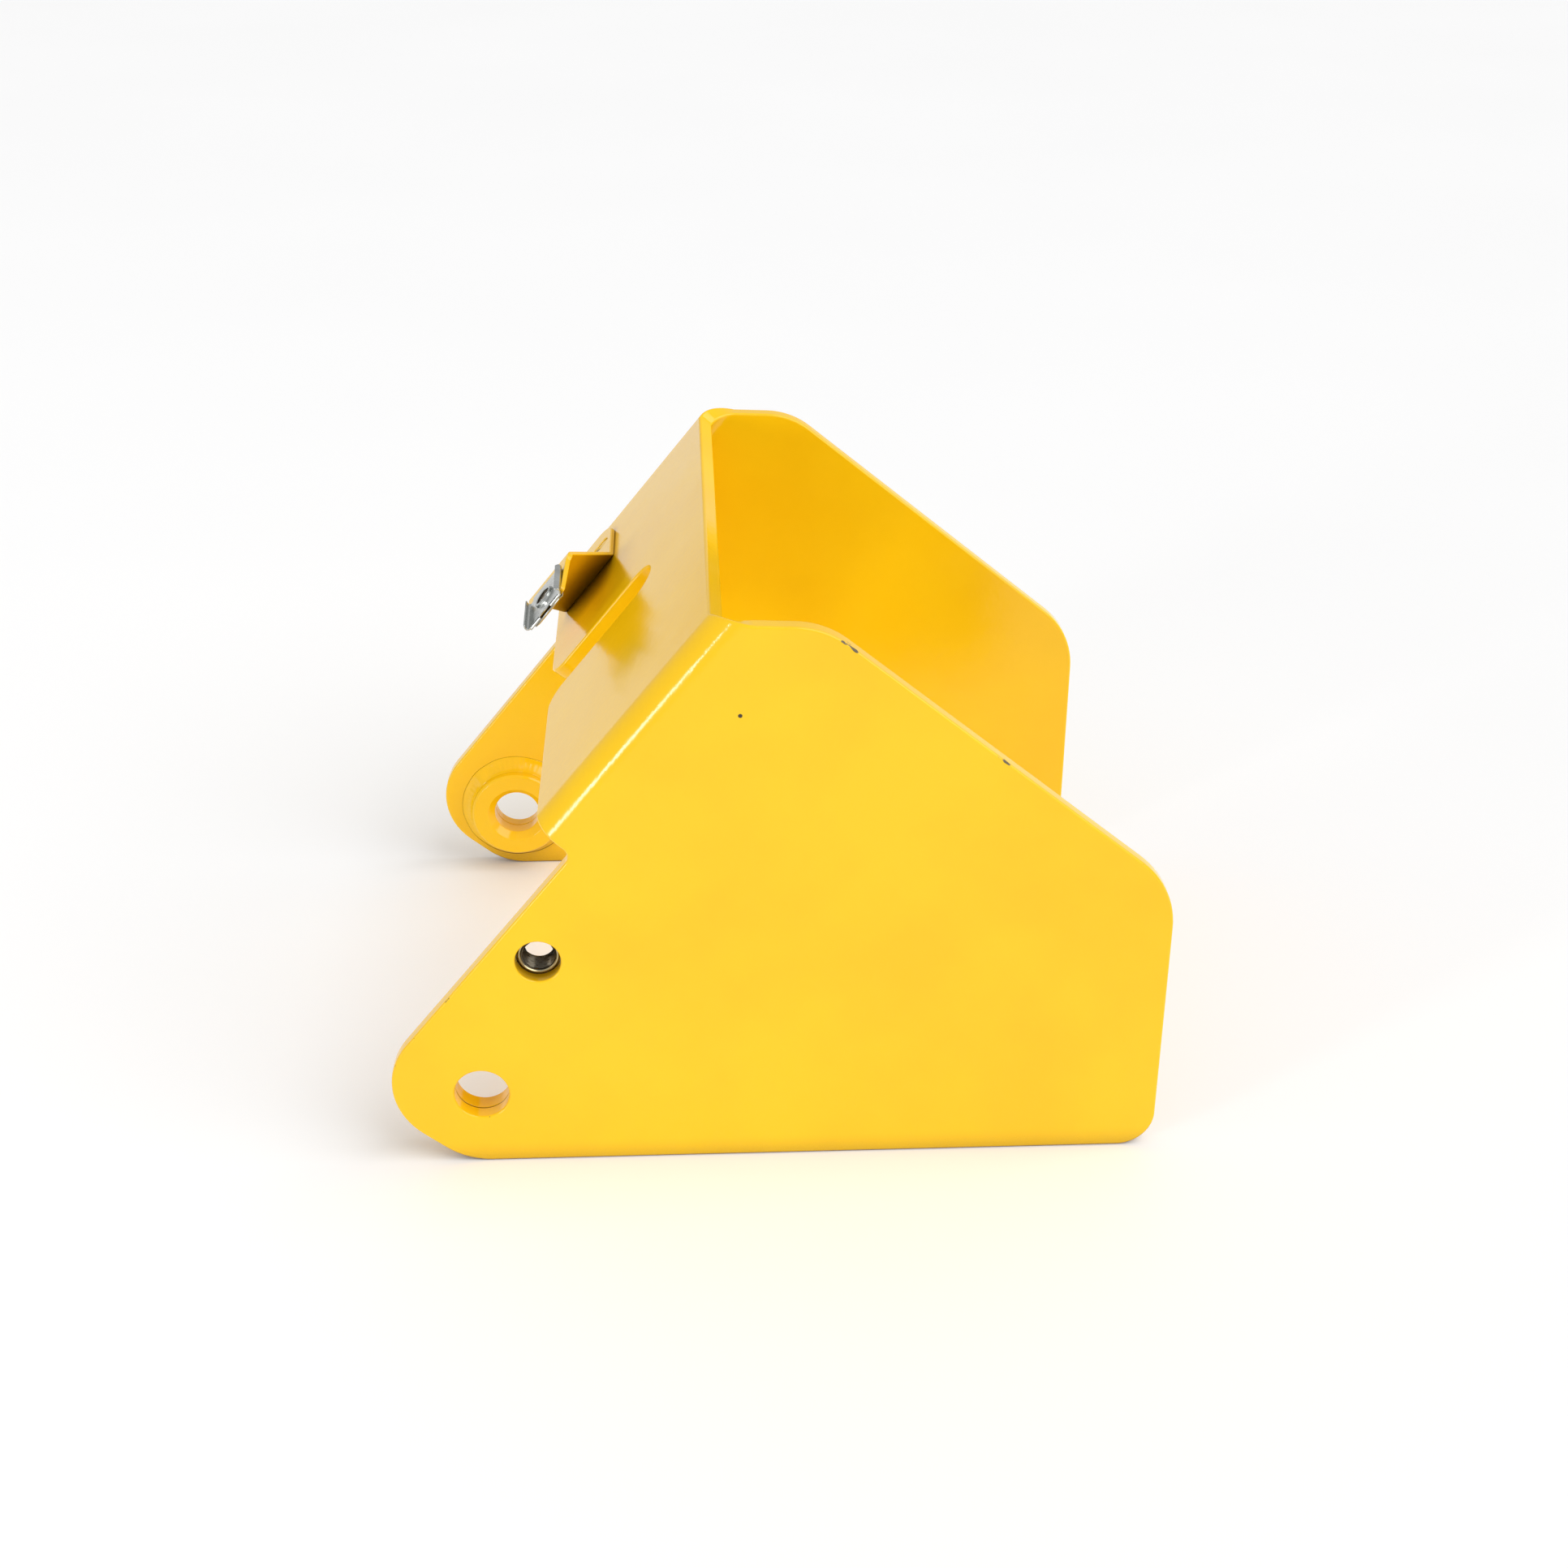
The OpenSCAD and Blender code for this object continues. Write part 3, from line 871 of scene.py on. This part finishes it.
def channel_half(tip):
    """One half of the clip's upper plate in its flat pattern, from the back to the front."""
    plate = CHANNEL_FLAT - CLIP_CORNER
    return [
        (CLIP_BACK, plate),
        (CLIP_SIDE_BACK + CLIP_NICK, plate),
        (CLIP_SIDE_BACK, CHANNEL_FLAT),
        (CLIP_SIDE_BACK, tip - CLIP_CORNER),
        (CLIP_SIDE_BACK - CLIP_CORNER, tip),
        (CLIP_FRONT + CLIP_FRONT_CUT, tip),
        (CLIP_FRONT, tip - CLIP_NICK),
        (CLIP_FRONT, CHANNEL_FLAT - CLIP_NICK / 2),
        (CLIP_FRONT + CLIP_FRONT_DIP, CHANNEL_FLAT - CLIP_NICK),
    ]


def make_clip_channel():
    """The clip's upper plate with its two sides turned up and leaning in, and its screw hole."""
    run = CLIP_BEND * CHANNEL_TURN
    half = channel_half(CHANNEL_FLAT + run + CLIP_SIDE_RISE)
    outer = half + [(a, -t) for a, t in reversed(half)]
    hole = arc(CLIP_HOLE_Y, 0, CLIP_THREAD_R, 360, 0)[:-1]
    strips = 8
    lines = both_sides([CHANNEL_FLAT + run * i / strips for i in range(strips + 1)])
    obj = folded_sheet("clip_channel", [outer, hole], lines, channel_path, clip_place, CLIP_T,
                       CLIP_EDGE_R, CLIP_EDGE_STEPS)
    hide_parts("clip_spring")
    return obj


def make_clip_lip():
    """The pinched front fold, bridging the channel's front, with its relief slot."""
    level = CHANNEL_LEVEL - LIP_BELOW
    front = CLIP_FRONT + CLIP_T / 2
    section = [(front + LIP_LAP, level), (front, level), (front, level - LIP_DROP)]
    path, lines, marks, length = fold_path(section, LIP_BEND, 5)
    wide, gap, low = CLIP_W / 2 - LIP_INSET, CLIP_RELIEF / 2, marks[0] - LIP_SLOT_LEAD
    outer = [
        (-wide, 0), (wide, 0), (wide, length), (gap, length),
        (gap, low), (-gap, low), (-gap, length), (-wide, length),
    ]
    obj = folded_sheet("clip_front_fold", [outer], lines, path, leaf_place, CLIP_T,
                       CLIP_EDGE_R, CLIP_EDGE_STEPS)
    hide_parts("clip_spring")
    return obj


def make_clip_leaf():
    """The clip's lower leaf under the tongue, rising to the front fold."""
    low = -BRACKET_T - CLIP_GAP - CLIP_T / 2
    section = [
        (CLIP_HOLE_Y + CLIP_LEAF_TAIL, low),
        (-FLANGE_LEN - CLIP_LEAF_LEAD, low),
        (CLIP_FRONT + LEAF_RISE[0], LEAF_RISE[1]),
        (CLIP_FRONT + LEAF_TIP[0], LEAF_TIP[1]),
    ]
    path, lines, _, length = fold_path(section, CLIP_LEAF_BEND, 4)
    w, r = CLIP_LEAF_W / 2, CLIP_LEAF_CORNER
    outer = arc(-w + r, r, r, 180, 270) + arc(w - r, r, r, 270, 360) + [(w, length), (-w, length)]
    hole = arc(0, CLIP_LEAF_TAIL, TAIL_HOLE_R, 360, 0)[:-1]
    obj = folded_sheet("clip_lower_leaf", [outer, hole], lines, path, leaf_place, CLIP_T,
                       CLIP_EDGE_R, CLIP_EDGE_STEPS)
    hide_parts("clip_spring")
    return obj


def neck_thread(w, top, rings=14):
    """The neck's thread at angle w, as (radius, height) from its mouth down to the plate's underside."""
    mouth = top - NECK_THREAD_LEAD
    profile = []
    for k in range(rings + 1):
        z = mouth - (mouth - CLIP_GAP) * k / rings
        saw = (z / CLIP_THREAD_PITCH + w / (2 * math.pi)) % 1
        r = CLIP_THREAD_R + NECK_THREAD_CLEAR + CLIP_THREAD_DEEP * (1 - abs(2 * saw - 1))
        profile.append((r, z))
    return profile


def make_clip_neck(plate, dark):
    """The drawn neck of the clip's screw hole, threaded inside."""
    top = CLIP_GAP + CLIP_T + CLIP_NECK_H
    segments = 72
    outside = [
        (CLIP_NECK_R, CHANNEL_LEVEL),
        (CLIP_NECK_R - NECK_FOOT_IN, CHANNEL_LEVEL + NECK_FOOT_H),
        (CLIP_NECK_R - NECK_TOP_IN, top - NECK_TOP_EASE),
        (CLIP_NECK_R - NECK_RIM_IN, top),
        (CLIP_THREAD_R + NECK_MOUTH_OUT, top),
    ]
    rows = []
    for i in range(segments):
        w = 2 * math.pi * i / segments
        rows.append([leaf_place(r * math.cos(w), (CLIP_HOLE_Y + r * math.sin(w), z)) * MM
                     for r, z in outside + neck_thread(w, top)])
    obj = add_ring("clip_neck", rows)
    paint(obj, plate, dark)
    mark_second(obj, range(len(outside), len(rows[0])), len(rows[0]), segments)
    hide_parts("clip_spring")
    return obj


# ---------------------------------------------------------------- materials

def principled(name, colour, rough, metal=0.0, ior=1.5):
    """A material with its constant values on the shader's own sockets."""
    mat = bpy.data.materials.new(name)
    mat.use_nodes = True
    shader = mat.node_tree.nodes["Principled BSDF"]
    shader.inputs["Base Color"].default_value = (*colour, 1)
    shader.inputs["Roughness"].default_value = rough
    shader.inputs["Metallic"].default_value = metal
    shader.inputs["IOR"].default_value = ior
    return mat, mat.node_tree, shader


def noise(tree, scale, detail=3.0, rough=0.5):
    """Noise in the object's own space, in metres."""
    coords = tree.nodes.new("ShaderNodeTexCoord")
    node = tree.nodes.new("ShaderNodeTexNoise")
    node.inputs["Scale"].default_value = scale
    node.inputs["Detail"].default_value = detail
    node.inputs["Roughness"].default_value = rough
    tree.links.new(coords.outputs["Object"], node.inputs["Vector"])
    return node.outputs["Fac"]


def span(tree, value, low, high, out_low=0.0, out_high=1.0):
    """Maps the range low to high onto out_low to out_high, and holds it there beyond the ends."""
    node = tree.nodes.new("ShaderNodeMapRange")
    node.inputs["From Min"].default_value = low
    node.inputs["From Max"].default_value = high
    node.inputs["To Min"].default_value = out_low
    node.inputs["To Max"].default_value = out_high
    tree.links.new(value, node.inputs["Value"])
    return node.outputs["Result"]


def product(tree, a, b):
    """Two sockets multiplied."""
    node = tree.nodes.new("ShaderNodeMath")
    node.operation = "MULTIPLY"
    tree.links.new(a, node.inputs[0])
    tree.links.new(b, node.inputs[1])
    return node.outputs[0]


def blend_colour(tree, factor, a, b):
    """Colour a where the factor is 0 and b where it is 1; each is a colour or a socket."""
    node = tree.nodes.new("ShaderNodeMix")
    node.data_type = "RGBA"
    tree.links.new(factor, node.inputs[0])
    for socket, value in ((node.inputs[6], a), (node.inputs[7], b)):
        if isinstance(value, tuple):
            socket.default_value = (*value, 1)
        else:
            tree.links.new(value, socket)
    return node.outputs[2]


def bump(tree, shader, height, strength, distance):
    """Small relief from a height socket, its distance in metres."""
    node = tree.nodes.new("ShaderNodeBump")
    node.inputs["Strength"].default_value = strength
    node.inputs["Distance"].default_value = distance
    tree.links.new(height, node.inputs["Height"])
    tree.links.new(node.outputs["Normal"], shader.inputs["Normal"])


def painted_crevice_shade(tree, colour):
    """Painted shade: darkens the colour by ambient occlusion where surfaces meet closely."""
    near = tree.nodes.new("ShaderNodeAmbientOcclusion")
    near.inputs["Distance"].default_value = PAINTED_SHADE_REACH
    near.samples = 8
    # Blends in the painted shade colour where the occlusion is strong
    open_share = span(tree, near.outputs["AO"], 0.15, 0.75)
    return blend_colour(tree, open_share, YELLOW_PAINTED_SHADE, colour)


def chip_mask(tree, colour):
    """One small paint chip down to dark metal on the near cheek."""
    coords = tree.nodes.new("ShaderNodeTexCoord")
    gap = tree.nodes.new("ShaderNodeVectorMath")
    gap.operation = "DISTANCE"
    gap.inputs[1].default_value = [v * MM for v in CHIP]
    tree.links.new(coords.outputs["Object"], gap.inputs[0])
    spot = span(tree, gap.outputs["Value"], CHIP_R * MM * 0.8, CHIP_R * MM, 1.0, 0.0)
    return blend_colour(tree, spot, colour, CHIP_DARK)


def scuffs(tree, colour):
    """Brown scuffs in patches where the wear attribute is high."""
    attribute = tree.nodes.new("ShaderNodeAttribute")
    attribute.attribute_name = "wear"
    wear = attribute.outputs["Fac"]
    patches = product(tree, noise(tree, 95, 6, 0.65), span(tree, wear, 0, 2, 0.85, 1.15))
    worn = product(tree, span(tree, wear, 0.2, 0.6), span(tree, patches, 0.655, 0.68))
    return blend_colour(tree, worn, colour, SCUFF_BROWN)


def yellow_paint(name, rough=0.14, hood=True):
    """Gloss yellow powder coat: orange peel, slight colour variation, painted shade where surfaces meet
    closely, scuffed edges.
    """
    mat, tree, shader = principled(name, YELLOW, rough, ior=1.46)
    tint = span(tree, noise(tree, 22, 4), 0.35, 0.65)
    # The coat's colour is darkened by painted shade where surfaces meet closely
    colour = painted_crevice_shade(tree, blend_colour(tree, tint, YELLOW_DEEP, YELLOW_LIGHT))
    if hood:
        colour = chip_mask(tree, scuffs(tree, colour))
    tree.links.new(colour, shader.inputs["Base Color"])
    rougher = span(tree, noise(tree, 60, 5), 0.3, 0.75, rough * 0.85, rough * 1.35)
    tree.links.new(rougher, shader.inputs["Roughness"])
    bump(tree, shader, noise(tree, 420, 2), 0.10, 0.0006)
    return mat


def zinc(name, colour, rough, metal=1.0, grain=0.12):
    """Plated metal with slight tone changes and a fine grain."""
    mat, tree, shader = principled(name, colour, rough, metal)
    tone = span(tree, noise(tree, 160, 5, 0.6), 0.3, 0.7)
    dark = tuple(c * 0.72 for c in colour)
    tree.links.new(blend_colour(tree, tone, dark, colour), shader.inputs["Base Color"])
    rougher = span(tree, noise(tree, 240, 4), 0.3, 0.7, rough * 0.8, rough * 1.5)
    tree.links.new(rougher, shader.inputs["Roughness"])
    bump(tree, shader, noise(tree, 600, 3), grain, 0.0003)
    return mat


def paint(obj, *materials):
    """Gives the object these materials and no others."""
    obj.data.materials.clear()
    for mat in materials:
        obj.data.materials.append(mat)


# ---------------------------------------------------------------- stage

def make_floor(height):
    """A wide white floor under the object."""
    size = FLOOR_HALF
    verts = [(-size, -size, height), (size, -size, height), (size, size, height), (-size, size, height)]
    floor = add_object("studio_floor", verts, [(0, 1, 2, 3)], body=None)
    mat, tree, shader = principled("floor_white", FLOOR_WHITE, 0.6)
    soft = span(tree, noise(tree, 3, 2), 0.2, 0.8)
    tree.links.new(blend_colour(tree, soft, FLOOR_LOW, FLOOR_HIGH), shader.inputs["Base Color"])
    paint(floor, mat)


def make_world(strength):
    """A plain white surround."""
    world = bpy.data.worlds.new("studio")
    world.use_nodes = True
    ground = world.node_tree.nodes["Background"]
    ground.inputs["Color"].default_value = (1, 1, 1, 1)
    ground.inputs["Strength"].default_value = strength
    bpy.context.scene.world = world


def area_light(name, place, target, size, power):
    """A rectangular light at place, facing target."""
    data = bpy.data.lights.new(name, "AREA")
    data.shape = "RECTANGLE"
    data.size, data.size_y = size
    data.energy = power
    obj = bpy.data.objects.new(name, data)
    obj.location = place
    obj.rotation_euler = (Vector(target) - Vector(place)).to_track_quat("-Z", "Y").to_euler()
    bpy.context.scene.collection.objects.link(obj)


def sun_light(name, toward, spread, strength):
    """A sun in the direction given, as wide as its spread in degrees."""
    data = bpy.data.lights.new(name, "SUN")
    data.angle = math.radians(spread)
    data.energy = strength
    obj = bpy.data.objects.new(name, data)
    obj.rotation_euler = Vector(toward).to_track_quat("Z", "Y").to_euler()
    bpy.context.scene.collection.objects.link(obj)


def make_camera():
    """The photograph's camera, turned by yaw, pitch and roll."""
    yaw, pitch, roll = (math.radians(v) for v in CAMERA_TURN)
    ahead = Vector((math.sin(yaw) * math.cos(pitch), math.cos(yaw) * math.cos(pitch), -math.sin(pitch)))
    level = Vector((math.cos(yaw), -math.sin(yaw), 0))
    rise = level.cross(ahead)
    right = math.cos(roll) * level + math.sin(roll) * rise
    up = -math.sin(roll) * level + math.cos(roll) * rise
    data = bpy.data.cameras.new("camera")
    data.lens = CAMERA_LENS
    data.sensor_width = CAMERA_SENSOR
    obj = bpy.data.objects.new("camera", data)
    turn = Matrix((right, up, -ahead)).transposed().to_4x4()
    obj.matrix_world = Matrix.Translation(CAMERA_AT) @ turn
    bpy.context.scene.collection.objects.link(obj)
    bpy.context.scene.camera = obj


def make_stage():
    """The camera, the floor, the surround and the two lights."""
    make_camera()
    make_floor(cad_box[0][2])
    make_world(WORLD_STRENGTH)
    toward = Vector(KEY_TOWARD).normalized()
    area_light("key", Vector(KEY_TARGET) + toward * KEY_DISTANCE, KEY_TARGET, KEY_SIZE, KEY_POWER)
    sun_light("overhead", SUN_TOWARD, SUN_SPREAD, SUN_STRENGTH)
    bpy.context.scene.view_settings.view_transform = "Standard"


# ---------------------------------------------------------------- assembly

def main():
    """Builds every piece and its material, in the studio."""
    make_stage()
    coat = yellow_paint("yellow_gloss_coat")
    plain_coat = yellow_paint("yellow_gloss_plain", hood=False)
    plated = zinc("yellow_zinc_plate", ZINC_YELLOW, 0.26)
    thread = zinc("dark_thread", THREAD_DARK, 0.22, 0.8)
    spring = zinc("bright_plated_spring", SPRING_BRIGHT, 0.22, grain=0.03)
    paint(make_hood(), coat)
    paint(make_boss("near_boss", "near_pivot_boss", -1), plain_coat)
    paint(make_boss("far_boss", "far_pivot_boss", 1), plain_coat)
    paint(make_boss_weld("near_boss_bead", "near_boss_weld", -1, 3), plain_coat)
    paint(make_boss_weld("far_boss_bead", "far_boss_weld", 1, 5), plain_coat)
    make_side_nut(plated, thread)
    paint(make_bracket(), coat)
    paint(make_slot_weld(), plain_coat)
    paint(make_clip_channel(), spring)
    paint(make_clip_lip(), spring)
    paint(make_clip_leaf(), spring)
    make_clip_neck(spring, thread)


main()
